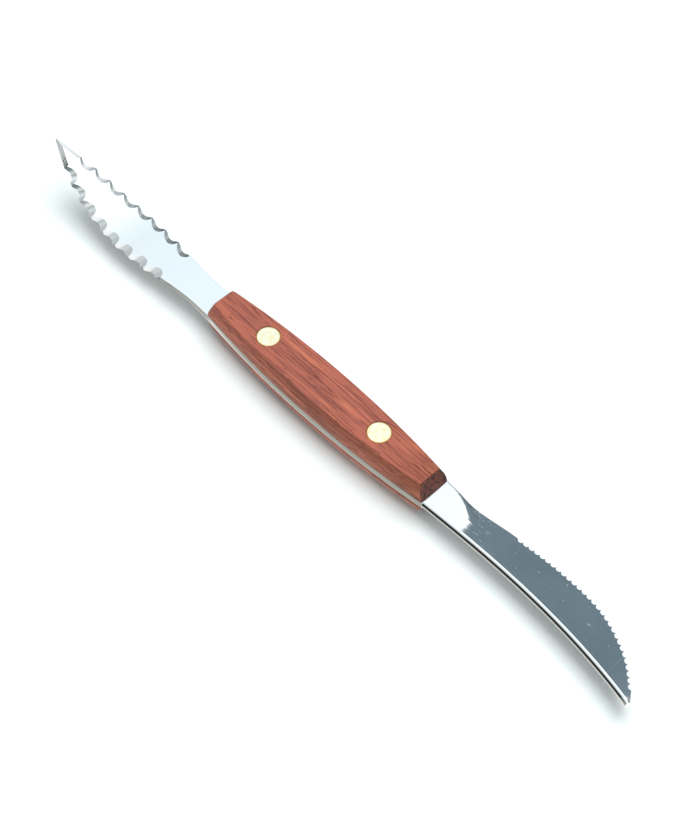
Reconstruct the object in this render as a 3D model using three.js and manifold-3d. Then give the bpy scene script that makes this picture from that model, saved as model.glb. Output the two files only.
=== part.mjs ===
// Double-ended grapefruit knife: one bent steel strip that is a scalloped blade at one end, a full tang
// in the middle and a toothed blade at the other end, between two wooden scales on compression rivets.
// Millimetres, +Z up. The knife lies on its lower scale, X runs along it towards the toothed blade, and
// the origin is on the table, half way between the rivets.
import * as THREE from 'three';
import { mergeVertices } from 'three/addons/utils/BufferGeometryUtils.js';
import Module from 'manifold-3d';

const wasm = await Module();
wasm.setup();

// Driving dimensions of the handle
const STEEL_THICKNESS = 2.2;
const SCALE_THICKNESS = 4.95;
const HANDLE_LENGTH = 75.4;
const HANDLE_MIDDLE_WIDTH = 13.3;
const HANDLE_END_WIDTH = 8.6;
const END_SETBACK = 1.75; // how far the sloping end of a scale leans back at its outer face
const SIDE_LAND = 1.75; // upright part of a scale's side, next to the tang
const SIDE_INSET = 1.36; // how far the sloping part of the side draws in to the outer face

// Driving dimensions of the rivets
const RIVET_SPACING = 38.5;
const RIVET_HEAD_DIAMETER = 6;
const RIVET_HEAD_THICKNESS = 1.3;
const RIVET_HEAD_RECESS = 0.05; // how far a head lies below the outer face of its scale
const RIVET_RIM_BREAK = 0.2; // chamfer round the face of a head
const RIVET_TUBE_DIAMETER = 4;
const RIVET_TUBE_END_GAP = 0.6; // left between the end of the tube and the head of the pin
const RIVET_PIN_DIAMETER = 2.4;
const RIVET_PIN_END_GAP = 0.5; // left between the end of the pin and the bottom of the bore
const FIT_CLEARANCE = 0.1; // all round a head in its seat, a tube in its hole and a pin in its bore

// Driving dimensions of the toothed blade. Outline points are [share of the blade's length, y]
const TOOTHED_LENGTH = 65.9;
const TOOTHED_SPINE = [[0.23, -3.65], [0.61, -2.4], [0.995, -8.05]]; // two control points and the end
const TOOTHED_EDGE = [
  [0.15, 4.05], [0.315, 5.35], [0.52, 6.3], [0.71, 5.5], [0.86, 1.7], [0.955, -3.1], [1, -7.2],
];
const SPINE_ROUND = 0.85; // radius of the two rounded corners along the spine
const SPINE_FLAT = 0.9; // how far the grind stays away from the spine
const EDGE_THICKNESS = 0.4; // steel left at the ground edge
const GRIND_START_AT_SPINE = 9.3; // from the end of the handle
const GRIND_START_AT_EDGE = 3.3;
const GRIND_START_CURVE = 7; // power of the curve between the two
const GRIND_RUN_OUT = 5; // length over which the grind reaches its full depth
const GRIND_FULL_WIDTH = 5; // where the blade is narrower the grind keeps its slope
const TOOTH_START = 21.6; // along the edge, from the end of the handle
const TOOTH_PITCH = 1.58;
const TOOTH_DEPTH = 0.62; // of the first gullet
const TOOTH_DEPTH_AT_TIP = 0.77; // of the last one
const PLAIN_EDGE_AT_TIP = 3; // least length of edge without teeth at the tip

// Driving dimensions of the scalloped blade. Outline points are [share of the blade's length, half width]
const SCALLOPED_LENGTH = 65.4; // along the strip from the end of the handle
const SCALLOPED_OUTLINE = [
  [0.1, 4.15], [0.19, 4.55], [0.265, 5.05], [0.51, 5.87], [0.754, 4.4], [0.891, 2.15],
];
const POINT_LENGTH = 7.3; // the arrow point past the last scallop
const POINT_HALF_WIDTH = 0.3; // blunt end of the arrow point
const POINT_BEVEL_RUN = 1.1; // width of the bevel on each side of the arrow point
const SCALLOPED_THICKNESS = 1.2; // the strip is ground thinner from below
const POINT_THICKNESS = 0.65; // at the tip, thinned further from the bend on
const THINNING_END = 14.5; // where the thinner stretch is reached
const BEND_START = 30.9;
const BEND_RADIUS = 47.7;
const SCALLOP_START = 17;
const SCALLOP_COUNT = 8;
const SCALLOP_PITCH_DROP = 0.115; // each scallop is this much shorter than the one before
const SCALLOP_DEPTH = 2.2; // of the first scallop, on the upper face
const SCALLOP_LEAN = 60; // degrees between the scoop's axis and upright
const SCALLOP_SKEW = 27; // degrees that the lean turns towards the handle
const EDGE_FLARE = 0.6; // how far the peaks between scallops reach past the outline of the upper face

// Facets
const CIRCLE_STEPS = 36;
const TANG_STEPS = 20;
const TOOTHED_STEPS = 52;
const GRIND_COLUMNS = 8;
const ROUND_STEPS = 3;
const SCALLOPED_STEPS = 44;
const SCOOP_STEPS = 32;
const GULLET_STEPS = 20;
const HALVINGS = 40; // of the search for a width along an outline

// Derived levels and places
const TANG_BOTTOM = SCALE_THICKNESS;
const TANG_TOP = SCALE_THICKNESS + STEEL_THICKNESS;
const KNIFE_TOP = TANG_TOP + SCALE_THICKNESS;
const HANDLE_END = HANDLE_LENGTH / 2;
const RIVET_PLACES = { far: -RIVET_SPACING / 2, near: RIVET_SPACING / 2 };
const CUT_MARGIN = 1; // how far a cutter reaches past the faces that it opens
const CUTTER_LENGTH = 18; // of the round cutters for scallops and teeth
const BEVEL_CUTTER_SIZE = 5; // of the square cutters for the bevels of the arrow point
const MERGE_DISTANCE = 1e-4; // vertices closer than this are one

// The sides of the handle bow evenly from its middle width to its end width
function handleHalfWidth(x) {
  const bow = (HANDLE_MIDDLE_WIDTH - HANDLE_END_WIDTH) / 2;
  return HANDLE_MIDDLE_WIDTH / 2 - bow * (x / HANDLE_END) ** 2;
}

// Solids and meshes

function solidOf(geometry) {
  const bare = geometry.clone();
  bare.deleteAttribute('normal');
  bare.deleteAttribute('uv');
  const merged = mergeVertices(bare, MERGE_DISTANCE);
  return new wasm.Manifold(new wasm.Mesh({
    numProp: 3,
    vertProperties: new Float32Array(merged.attributes.position.array),
    triVerts: new Uint32Array(merged.index.array),
  }));
}

function geometryOf(solid) {
  const mesh = solid.getMesh();
  const geometry = new THREE.BufferGeometry();
  geometry.setAttribute('position', new THREE.BufferAttribute(new Float32Array(mesh.vertProperties), 3));
  geometry.setIndex(new THREE.BufferAttribute(new Uint32Array(mesh.triVerts), 1));
  return geometry;
}

// A closed skin over rings of points, each ring counter-clockwise when seen from the last one
function loftSolid(rings) {
  const around = rings[0].length;
  const positions = rings.flat().flatMap((point) => [point.x, point.y, point.z]);
  const faces = [];
  for (let row = 0; row + 1 < rings.length; row += 1) {
    for (let step = 0; step < around; step += 1) {
      const here = row * around + step;
      const beside = row * around + (step + 1) % around;
      faces.push(here, beside, beside + around);
      faces.push(here, beside + around, here + around);
    }
  }
  // Each end is closed by strips between its two facing halves
  const last = (rings.length - 1) * around;
  for (let step = 0; step < around / 2 - 1; step += 1) {
    const facing = around - 1 - step;
    faces.push(step, facing, step + 1, step + 1, facing, facing - 1);
    faces.push(last + step, last + step + 1, last + facing);
    faces.push(last + step + 1, last + facing - 1, last + facing);
  }
  const geometry = new THREE.BufferGeometry();
  geometry.setAttribute('position', new THREE.Float32BufferAttribute(positions, 3));
  geometry.setIndex(faces);
  return solidOf(geometry);
}

// A turned piece about an upright axis at x, from a profile of [radius, height] read upwards
function turnedSolid(profile, x) {
  const points = profile.map(([radius, height]) => new THREE.Vector2(radius, height));
  const geometry = new THREE.LatheGeometry(points, CIRCLE_STEPS);
  geometry.rotateX(Math.PI / 2);
  geometry.translate(x, 0, 0);
  return solidOf(geometry);
}

// The strip: its upper face, followed round the upward bend of the scalloped blade

function stripFrame(along) {
  const past = Math.max(along - HANDLE_END - BEND_START, 0);
  const angle = past / BEND_RADIUS;
  const straight = along - past;
  return {
    point: new THREE.Vector3(
      -straight - BEND_RADIUS * Math.sin(angle),
      0,
      TANG_TOP + BEND_RADIUS * (1 - Math.cos(angle)),
    ),
    towardsTip: new THREE.Vector3(-Math.cos(angle), 0, Math.sin(angle)),
    up: new THREE.Vector3(Math.sin(angle), 0, Math.cos(angle)),
  };
}

function scallopedThickness(along) {
  const past = along - HANDLE_END;
  if (past > BEND_START) {
    const share = (past - BEND_START) / (SCALLOPED_LENGTH - BEND_START);
    return SCALLOPED_THICKNESS + (POINT_THICKNESS - SCALLOPED_THICKNESS) * share;
  }
  const share = Math.min(past / THINNING_END, 1);
  return STEEL_THICKNESS + (SCALLOPED_THICKNESS - STEEL_THICKNESS) * share;
}

// An outline point of a blade, from its share of the blade's length
function outlinePoint([share, y], length) {
  return new THREE.Vector2(HANDLE_END + share * length, y);
}

const scallopedOutline = new THREE.SplineCurve([
  new THREE.Vector2(HANDLE_END, HANDLE_END_WIDTH / 2),
  ...SCALLOPED_OUTLINE.map((place) => outlinePoint(place, SCALLOPED_LENGTH)),
  new THREE.Vector2(HANDLE_END + SCALLOPED_LENGTH, POINT_HALF_WIDTH),
]);

function scallopedHalfWidth(along) {
  let low = 0;
  let high = 1;
  for (let halving = 0; halving < HALVINGS; halving += 1) {
    const middle = (low + high) / 2;
    if (scallopedOutline.getPoint(middle).x < along) {
      low = middle;
    } else {
      high = middle;
    }
  }
  return scallopedOutline.getPoint(low).y;
}

const toothedSpine = new THREE.CubicBezierCurve(
  new THREE.Vector2(HANDLE_END, -HANDLE_END_WIDTH / 2),
  ...TOOTHED_SPINE.map((place) => outlinePoint(place, TOOTHED_LENGTH)),
);

const toothedEdge = new THREE.SplineCurve([
  new THREE.Vector2(HANDLE_END, HANDLE_END_WIDTH / 2),
  ...TOOTHED_EDGE.map((place) => outlinePoint(place, TOOTHED_LENGTH)),
]);

// A section of the strip: its upper points from the -Y side to the +Y side, then its lower ones back
function stripRing(upper, lower) {
  return [...lower, ...[...upper].reverse()];
}

// [inset, drop] of the points that round off the -Y side, in radii. A square side has the same points
const SIDE_ROUND = [];
for (let step = ROUND_STEPS; step > 0; step -= 1) {
  const turn = Math.PI / 2 * step / ROUND_STEPS;
  SIDE_ROUND.push([1 - Math.sin(turn), 1 - Math.cos(turn)]);
}

function flatSection(x, halfWidth) {
  const upper = [];
  const lower = [];
  for (const [, drop] of SIDE_ROUND) {
    upper.push(new THREE.Vector3(x, -halfWidth, TANG_TOP - SPINE_ROUND * drop));
    lower.push(new THREE.Vector3(x, -halfWidth, TANG_BOTTOM + SPINE_ROUND * drop));
  }
  for (let column = 0; column <= GRIND_COLUMNS; column += 1) {
    const y = halfWidth * (2 * column / GRIND_COLUMNS - 1);
    upper.push(new THREE.Vector3(x, y, TANG_TOP));
    lower.push(new THREE.Vector3(x, y, TANG_BOTTOM));
  }
  return stripRing(upper, lower);
}

function scallopedSection(along, halfWidth) {
  const frame = stripFrame(along);
  const thickness = scallopedThickness(along);
  const place = (y, depth) => {
    const point = frame.point.clone().addScaledVector(frame.up, -depth);
    point.y = y;
    return point;
  };
  const upper = [];
  const lower = [];
  for (const [, drop] of SIDE_ROUND) {
    const depth = SPINE_ROUND * drop * thickness / STEEL_THICKNESS;
    upper.push(place(-halfWidth, depth));
    lower.push(place(-halfWidth, thickness - depth));
  }
  for (let column = 0; column <= GRIND_COLUMNS; column += 1) {
    const y = halfWidth * (2 * column / GRIND_COLUMNS - 1);
    upper.push(place(y, 0));
    lower.push(place(y, thickness));
  }
  return stripRing(upper, lower);
}

// How much steel the grind takes from each face, across 0 at the spine's flat and 1 at the edge
function grindDepth(x, across) {
  const spread = GRIND_START_AT_SPINE - GRIND_START_AT_EDGE;
  const start = HANDLE_END + GRIND_START_AT_SPINE - spread * across ** GRIND_START_CURVE;
  const runOut = THREE.MathUtils.smoothstep(x, start, start + GRIND_RUN_OUT);
  return (STEEL_THICKNESS - EDGE_THICKNESS) / 2 * across * runOut;
}

function toothedSection(share) {
  const spine = toothedSpine.getPointAt(share);
  const edge = toothedEdge.getPointAt(share);
  const width = spine.distanceTo(edge);
  const fullness = Math.min(width / GRIND_FULL_WIDTH, 1);
  // Towards the blunt tip the round and the flat narrow to a third and a half of what is left
  const roundShare = Math.min(SPINE_ROUND / width, 1 / 3);
  const flatShare = Math.min(SPINE_FLAT / width, 1 / 2);
  const upper = [];
  const lower = [];
  for (const [inset, drop] of SIDE_ROUND) {
    const point = spine.clone().lerp(edge, roundShare * inset);
    const depth = roundShare * width * drop;
    upper.push(new THREE.Vector3(point.x, point.y, TANG_TOP - depth));
    lower.push(new THREE.Vector3(point.x, point.y, TANG_BOTTOM + depth));
  }
  for (let column = 0; column <= GRIND_COLUMNS; column += 1) {
    const across = Math.max((column - 1) / (GRIND_COLUMNS - 1), 0);
    const along = column === 0 ? roundShare : flatShare + (1 - flatShare) * across;
    const point = spine.clone().lerp(edge, along);
    const depth = fullness * grindDepth(point.x, across);
    upper.push(new THREE.Vector3(point.x, point.y, TANG_TOP - depth));
    lower.push(new THREE.Vector3(point.x, point.y, TANG_BOTTOM + depth));
  }
  return stripRing(upper, lower);
}

function stripSolid() {
  const rings = [];
  for (let step = SCALLOPED_STEPS; step > 0; step -= 1) {
    const outline = scallopedOutline.getPointAt(step / SCALLOPED_STEPS);
    rings.push(scallopedSection(outline.x, outline.y + edgeFlare(outline.x)));
  }
  for (let step = 0; step <= TANG_STEPS; step += 1) {
    const x = HANDLE_END * (2 * step / TANG_STEPS - 1);
    rings.push(flatSection(x, handleHalfWidth(x)));
  }
  for (let step = 1; step <= TOOTHED_STEPS; step += 1) {
    rings.push(toothedSection(step / TOOTHED_STEPS));
  }
  return loftSolid(rings);
}

// The scoops of the scalloped blade: round cutters that lean in over the upper face

const SCALLOP_RUN = SCALLOPED_LENGTH - POINT_LENGTH - SCALLOP_START;
const FIRST_SCALLOP = SCALLOP_RUN / SCALLOP_COUNT + SCALLOP_PITCH_DROP * (SCALLOP_COUNT - 1) / 2;

function scallopEnd(index) {
  const travelled = index * FIRST_SCALLOP - SCALLOP_PITCH_DROP * index * (index - 1) / 2;
  return HANDLE_END + SCALLOP_START + travelled;
}

// The blank reaches past the outline from the first scallop on, and draws in again along the arrow point
function edgeFlare(along) {
  const start = scallopEnd(0);
  const rise = THREE.MathUtils.smoothstep(along, start, start + FIRST_SCALLOP / 2);
  const fromTip = HANDLE_END + SCALLOPED_LENGTH - along;
  return EDGE_FLARE * rise * Math.min(fromTip / POINT_LENGTH, 1);
}

// The corner between two scallops, on the upper face
function scallopCorner(index, side) {
  const along = scallopEnd(index);
  const corner = stripFrame(along).point;
  corner.y = side * scallopedHalfWidth(along);
  return corner;
}

function scoopSolid(index, side) {
  const from = scallopCorner(index, side);
  const to = scallopCorner(index + 1, side);
  const pitch = scallopEnd(index + 1) - scallopEnd(index);
  const frame = stripFrame(scallopEnd(index) + pitch / 2);
  const lean = THREE.MathUtils.degToRad(SCALLOP_LEAN);
  const skew = THREE.MathUtils.degToRad(SCALLOP_SKEW);
  const over = new THREE.Vector3(0, -side * Math.cos(skew), 0);
  over.addScaledVector(frame.towardsTip, -Math.sin(skew));
  const axis = frame.up.clone().multiplyScalar(Math.cos(lean)).addScaledVector(over, Math.sin(lean));
  const chord = to.clone().sub(from);
  const across = chord.addScaledVector(axis, -chord.dot(axis));
  const sagitta = SCALLOP_DEPTH * pitch / FIRST_SCALLOP * Math.cos(lean);
  const radius = (across.lengthSq() / 4 + sagitta ** 2) / (2 * sagitta);
  across.normalize();
  const outwards = across.clone().cross(axis).multiplyScalar(side);
  const centre = from.clone().lerp(to, 1 / 2).addScaledVector(outwards, radius - sagitta);
  return cutterSolid(radius, across, axis, centre, SCOOP_STEPS);
}

// A round cutter whose axis passes through centre
function cutterSolid(radius, across, axis, centre, steps) {
  const geometry = new THREE.CylinderGeometry(radius, radius, CUTTER_LENGTH, steps);
  const basis = new THREE.Matrix4().makeBasis(across, axis, across.clone().cross(axis));
  geometry.applyMatrix4(basis.setPosition(centre));
  return solidOf(geometry);
}

// The bevel along one side of the arrow point, past the last scallop
function pointBevelSolid(side) {
  const start = scallopEnd(SCALLOP_COUNT);
  const from = new THREE.Vector2(start, scallopedHalfWidth(start) + EDGE_FLARE);
  const to = new THREE.Vector2(HANDLE_END + SCALLOPED_LENGTH, POINT_HALF_WIDTH);
  const chord = to.clone().sub(from);
  const middle = from.clone().lerp(to, 1 / 2);
  const frame = stripFrame(middle.x);
  const thickness = scallopedThickness(middle.x);
  const tilt = chord.angle();
  const lean = Math.atan2(POINT_BEVEL_RUN, thickness);
  const length = chord.length() + CUT_MARGIN;
  const box = new THREE.BoxGeometry(length, BEVEL_CUTTER_SIZE, BEVEL_CUTTER_SIZE);
  box.translate(length / 2 - chord.length() / 2, BEVEL_CUTTER_SIZE / 2, 0);
  box.rotateX(side * -lean);
  if (side < 0) {
    box.rotateX(Math.PI);
  }
  const lengthways = frame.towardsTip.clone().multiplyScalar(Math.cos(tilt));
  lengthways.y = side * Math.sin(tilt);
  const outwards = frame.towardsTip.clone().multiplyScalar(-side * Math.sin(tilt));
  outwards.y = Math.cos(tilt);
  const basis = new THREE.Matrix4().makeBasis(lengthways, outwards, lengthways.clone().cross(outwards));
  const foot = frame.point.clone().addScaledVector(frame.up, -thickness);
  foot.y = side * middle.y;
  box.applyMatrix4(basis.setPosition(foot));
  return solidOf(box);
}

const EDGE_LENGTH = toothedEdge.getLength();
const TOOTH_COUNT = Math.floor((EDGE_LENGTH - TOOTH_START - PLAIN_EDGE_AT_TIP) / TOOTH_PITCH);

// One round gullet between two teeth of the toothed blade
function gulletSolid(index) {
  const from = toothedEdge.getPointAt((TOOTH_START + index * TOOTH_PITCH) / EDGE_LENGTH);
  const to = toothedEdge.getPointAt((TOOTH_START + (index + 1) * TOOTH_PITCH) / EDGE_LENGTH);
  const chord = to.clone().sub(from);
  const depth = THREE.MathUtils.lerp(TOOTH_DEPTH, TOOTH_DEPTH_AT_TIP, index / (TOOTH_COUNT - 1));
  const radius = (chord.lengthSq() / 4 + depth ** 2) / (2 * depth);
  const outset = radius - depth;
  const across = new THREE.Vector3(chord.x, chord.y, 0).normalize();
  const up = new THREE.Vector3(0, 0, 1);
  const outwards = up.clone().cross(across);
  const middle = from.clone().lerp(to, 0.5);
  const centre = new THREE.Vector3(middle.x, middle.y, TANG_BOTTOM).addScaledVector(outwards, outset);
  return cutterSolid(radius, across, up, centre, GULLET_STEPS);
}

function shankHole(x, bottom, top) {
  const radius = RIVET_TUBE_DIAMETER / 2 + FIT_CLEARANCE;
  return turnedSolid([[0, bottom], [radius, bottom], [radius, top], [0, top]], x);
}

function bladeSolid() {
  let blade = stripSolid();
  for (let index = 0; index < SCALLOP_COUNT; index += 1) {
    blade = blade.subtract(scoopSolid(index, 1));
    blade = blade.subtract(scoopSolid(index, -1));
  }
  blade = blade.subtract(pointBevelSolid(1));
  blade = blade.subtract(pointBevelSolid(-1));
  for (let index = 0; index < TOOTH_COUNT; index += 1) {
    blade = blade.subtract(gulletSolid(index));
  }
  for (const x of Object.values(RIVET_PLACES)) {
    blade = blade.subtract(shankHole(x, TANG_BOTTOM - CUT_MARGIN, TANG_TOP + CUT_MARGIN));
  }
  return blade;
}

// The wooden scales: bowed outline, sides that slope in to the outer face, sloping ends

const SCALE_SIDE = [[0, 0], [0, SIDE_LAND], [SIDE_INSET, SCALE_THICKNESS]]; // [inset, height] from the tang

// Direction is 1 for the scale on top of the tang and -1 for the one below it
function scaleSolid(direction) {
  const base = direction > 0 ? TANG_TOP : TANG_BOTTOM;
  const rings = [];
  for (let step = 0; step <= TANG_STEPS; step += 1) {
    const share = direction * (2 * step / TANG_STEPS - 1);
    const place = (inset, height, sign) => {
      const x = share * (HANDLE_END - END_SETBACK * height / SCALE_THICKNESS);
      return new THREE.Vector3(x, sign * (handleHalfWidth(x) - inset), base + direction * height);
    };
    const right = SCALE_SIDE.map(([inset, height]) => place(inset, height, 1));
    const left = SCALE_SIDE.map(([inset, height]) => place(inset, height, -1));
    rings.push([...right, ...left.reverse()]);
  }
  let scale = loftSolid(rings);
  const outer = base + direction * SCALE_THICKNESS;
  const inner = base - direction * CUT_MARGIN;
  const past = outer + direction * CUT_MARGIN;
  const floor = outer - direction * (RIVET_HEAD_RECESS + RIVET_HEAD_THICKNESS);
  const seatRadius = RIVET_HEAD_DIAMETER / 2 + FIT_CLEARANCE;
  for (const x of Object.values(RIVET_PLACES)) {
    scale = scale.subtract(shankHole(x, Math.min(inner, past), Math.max(inner, past)));
    const low = Math.min(floor, past);
    const high = Math.max(floor, past);
    scale = scale.subtract(turnedSolid([[0, low], [seatRadius, low], [seatRadius, high], [0, high]], x));
  }
  return scale;
}

// The two halves of a compression rivet: the pin presses up into the tube of the socket

const SOCKET_FACE = KNIFE_TOP - RIVET_HEAD_RECESS;
const SOCKET_SHOULDER = SOCKET_FACE - RIVET_HEAD_THICKNESS;
const PIN_FACE = RIVET_HEAD_RECESS;
const PIN_SHOULDER = PIN_FACE + RIVET_HEAD_THICKNESS;
const HEAD_RADIUS = RIVET_HEAD_DIAMETER / 2;

function socketSolid(x) {
  const tube = RIVET_TUBE_DIAMETER / 2;
  const bore = RIVET_PIN_DIAMETER / 2 + FIT_CLEARANCE;
  const tubeEnd = PIN_SHOULDER + RIVET_TUBE_END_GAP;
  return turnedSolid([
    [0, SOCKET_SHOULDER],
    [bore, SOCKET_SHOULDER],
    [bore, tubeEnd],
    [tube, tubeEnd],
    [tube, SOCKET_SHOULDER],
    [HEAD_RADIUS, SOCKET_SHOULDER],
    [HEAD_RADIUS, SOCKET_FACE - RIVET_RIM_BREAK],
    [HEAD_RADIUS - RIVET_RIM_BREAK, SOCKET_FACE],
    [0, SOCKET_FACE],
  ], x);
}

function pinSolid(x) {
  const pin = RIVET_PIN_DIAMETER / 2;
  return turnedSolid([
    [0, PIN_FACE],
    [HEAD_RADIUS - RIVET_RIM_BREAK, PIN_FACE],
    [HEAD_RADIUS, PIN_FACE + RIVET_RIM_BREAK],
    [HEAD_RADIUS, PIN_SHOULDER],
    [pin, PIN_SHOULDER],
    [pin, SOCKET_SHOULDER - RIVET_PIN_END_GAP],
    [0, SOCKET_SHOULDER - RIVET_PIN_END_GAP],
  ], x);
}

// The assembly

const steel = new THREE.MeshStandardMaterial({ color: 0xd3d9dd, roughness: 0.12, metalness: 1 });
const wood = new THREE.MeshStandardMaterial({ color: 0xa9614c, roughness: 0.5, metalness: 0 });
const brass = new THREE.MeshStandardMaterial({ color: 0xe6d59a, roughness: 0.28, metalness: 1 });

const knife = new THREE.Group();

function addPiece(name, solid, material) {
  const mesh = new THREE.Mesh(geometryOf(solid), material);
  mesh.name = name;
  knife.add(mesh);
}

addPiece('double_ended_blade', bladeSolid(), steel);
addPiece('upper_scale', scaleSolid(1), wood);
addPiece('lower_scale', scaleSolid(-1), wood);
for (const [end, x] of Object.entries(RIVET_PLACES)) {
  addPiece(`${end}_rivet_socket`, socketSolid(x), brass);
  addPiece(`${end}_rivet_pin`, pinSolid(x), brass);
}

export default knife;
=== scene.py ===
"""Looks of a double-ended grapefruit knife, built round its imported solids.

Lengths are in millimetres until a mesh is made. X runs along the knife towards the toothed blade, Z is up,
and the knife lies on its lower scale with the origin on the table, half way between the rivets.
"""

import math

import bpy
import numpy as np
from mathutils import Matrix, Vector


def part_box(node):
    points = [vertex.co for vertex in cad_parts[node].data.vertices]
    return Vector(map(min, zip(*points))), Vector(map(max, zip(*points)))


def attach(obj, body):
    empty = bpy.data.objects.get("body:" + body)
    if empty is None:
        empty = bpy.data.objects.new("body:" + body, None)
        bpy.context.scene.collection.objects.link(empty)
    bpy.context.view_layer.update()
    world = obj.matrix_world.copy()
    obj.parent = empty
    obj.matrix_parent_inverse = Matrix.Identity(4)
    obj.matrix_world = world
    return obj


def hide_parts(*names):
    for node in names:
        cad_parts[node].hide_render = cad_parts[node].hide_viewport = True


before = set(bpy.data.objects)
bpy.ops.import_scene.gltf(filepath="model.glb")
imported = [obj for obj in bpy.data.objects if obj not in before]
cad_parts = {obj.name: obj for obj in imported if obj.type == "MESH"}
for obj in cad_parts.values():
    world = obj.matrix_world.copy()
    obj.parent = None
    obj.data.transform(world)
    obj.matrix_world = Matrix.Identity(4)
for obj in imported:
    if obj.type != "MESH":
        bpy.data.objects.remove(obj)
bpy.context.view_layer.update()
scene = bpy.context.scene

MM = 0.001


def middle_of(node):
    """The X of the middle of a node's box."""
    low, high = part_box(node)
    return (low.x + high.x) / 2 / MM


# Places taken from the boxes of the imported solids
lower_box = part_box("lower_scale")
upper_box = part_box("upper_scale")
TANG_BOTTOM = lower_box[1].z / MM
TANG_TOP = upper_box[0].z / MM
KNIFE_TOP = upper_box[1].z / MM
HANDLE_END = upper_box[1].x / MM
HANDLE_MIDDLE_HALF = upper_box[1].y / MM
STEEL_THICKNESS = TANG_TOP - TANG_BOTTOM
SCALE_THICKNESS = KNIFE_TOP - TANG_TOP
RIVET_PLACES = {end: middle_of(end + "_rivet_socket") for end in ("far", "near")}

# Handle
HANDLE_END_HALF = 4.3  # half width at the ends
END_SETBACK = 1.75  # how far a scale's outer face stays back from its end
SIDE_LAND = 1.75  # height of the upright land by the tang
SIDE_INSET = 1.36  # how far the sloping side leans in
CREASE_ROUND_NEAR = 0.3
CREASE_ROUND_FAR = 0.8
LAND_ROUND = 5.0  # radius between the land and the sloping side
FOOT_CHAMFER = 0.12  # along the tang
END_ROUND_NEAR = 0.22
END_ROUND_FAR = 0.55
SCALE_STATIONS = 72
ROUND_STEPS = 5
TOP_MARGIN = 0.25  # from the crease to the first column of the outer face
TOP_COLUMNS = 8
CUT_MARGIN = 1.0  # how far a cutter reaches past the wood

# Rivets
HEAD_RADIUS = 3.0
HEAD_THICKNESS = 1.3
HEAD_RECESS = 0.05  # how far a head lies below the outer face of its scale
RIM_ROUND = 0.25
TUBE_RADIUS = 2.0
TUBE_END_GAP = 0.6  # left between the end of the tube and the head of the pin
PIN_RADIUS = 1.2
PIN_END_GAP = 0.5  # left between the end of the pin and the bottom of the bore
BORE_CLEARANCE = 0.1
SEAT_CLEARANCE = 0.02  # closer than in the solids, as a pressed rivet is
TURN_STEPS = 96

# Toothed blade, outline points as [share of the blade's length, y]
TOOTHED_LENGTH = 65.9
TOOTHED_SPINE = [[0.23, -3.65], [0.61, -2.4], [0.995, -8.05]]  # two control points and the end
TOOTHED_EDGE = [[0.15, 4.05], [0.315, 5.35], [0.52, 6.3], [0.71, 5.5], [0.86, 1.7], [0.955, -3.1], [1, -7.2]]
SPINE_FLAT = 0.9  # how far the grind stays away from the spine
SPINE_ROUND = 0.85
EDGE_ROUND = 0.1
EDGE_THICKNESS = 0.4
GRIND_START_AT_SPINE = 9.3  # from the end of the handle
GRIND_START_AT_EDGE = 3.3
GRIND_START_CURVE = 5  # power of the curve between the two
GRIND_RAGGEDNESS = 0.03
GRIND_STREAKS = ((31, 0), (67, 2), (113, 1))  # waves across the blade, with their phases
GRIND_RUN_OUT = 5  # length over which the grind reaches its full depth
GRIND_FULL_WIDTH = 5  # where the blade is narrower the grind keeps its slope
TOOTH_START = 21.6  # along the edge, from the end of the handle
TOOTH_PITCH = 1.58
TOOTH_DEPTH = 0.62  # of the first gullet
TOOTH_DEPTH_AT_TIP = 0.77  # of the last one
PLAIN_EDGE_AT_TIP = 3  # least length of edge without teeth at the tip
STEPS_PER_TOOTH = 12
PLAIN_STEP = 0.4  # between rings where the edge has no teeth
FIRST_STEP = 0.1  # from the end of the tang to the first ring past it
DIRECTION_REACH = 0.04  # to either side of a point where the edge's direction is read

# Scalloped blade, outline points as [share of the blade's length, half width]
SCALLOPED_LENGTH = 65.4  # along the strip from the end of the handle
SCALLOPED_OUTLINE = [[0.1, 4.15], [0.19, 4.55], [0.265, 5.05], [0.51, 5.87], [0.754, 4.4], [0.891, 2.15]]
POINT_LENGTH = 7.3  # the arrow point past the last scallop
POINT_HALF_WIDTH = 0.3  # blunt end of the arrow point
POINT_BEVEL_RUN = 1.1  # width of a bevel of the point, square to its side
SCALLOPED_THICKNESS = 1.2
POINT_THICKNESS = 0.65
THINNING_END = 14.5  # along the strip from the end of the handle, as the next two are
BEND_START = 30.9
SCALLOP_START = 17
BEND_RADIUS = 47.7
SCALLOP_COUNT = 8
SCALLOP_PITCH_DROP = 0.115  # from one scallop to the next
SCALLOP_DEPTH = 2.2
SCALLOP_LEAN = math.radians(60)  # of the cutter's axis from upright
SCALLOP_SKEW = math.radians(27)  # of that axis towards the handle
EDGE_FLARE = 0.6  # how far the peaks stand past the outline
NECK_ROUND = 0.05
SCALLOPED_STEP = 0.12  # between rings
RIDGE_HALF_WIDTH = 0.02  # least half width of a face

# Rows of the blade's skin
TANG_ROUND = 0.05
TANG_STATIONS = 40
FLAT_COLUMNS = 4  # over the flat along the spine
GROUND_COLUMNS = 26  # over the grind
FACE_COLUMNS = FLAT_COLUMNS + GROUND_COLUMNS
FACE_MARGIN = 0.004  # share of a face between its side and the next column
ARC_STEPS = 5
WALL_STEPS = 4
CURVE_SAMPLES = 4000
SHARP_ANGLE = math.radians(32)


def shade(mesh):
    """Shades a mesh smooth but for its sharp edges."""
    mesh.shade_smooth()
    mesh.set_sharp_from_angle(angle=SHARP_ANGLE)


def new_object(name, vertices, faces):
    """An object from vertices in millimetres."""
    mesh = bpy.data.meshes.new(name)
    mesh.from_pydata((np.asarray(vertices) * MM).tolist(), [], faces)
    mesh.validate()
    shade(mesh)
    thing = bpy.data.objects.new(name, mesh)
    scene.collection.objects.link(thing)
    return thing


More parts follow.
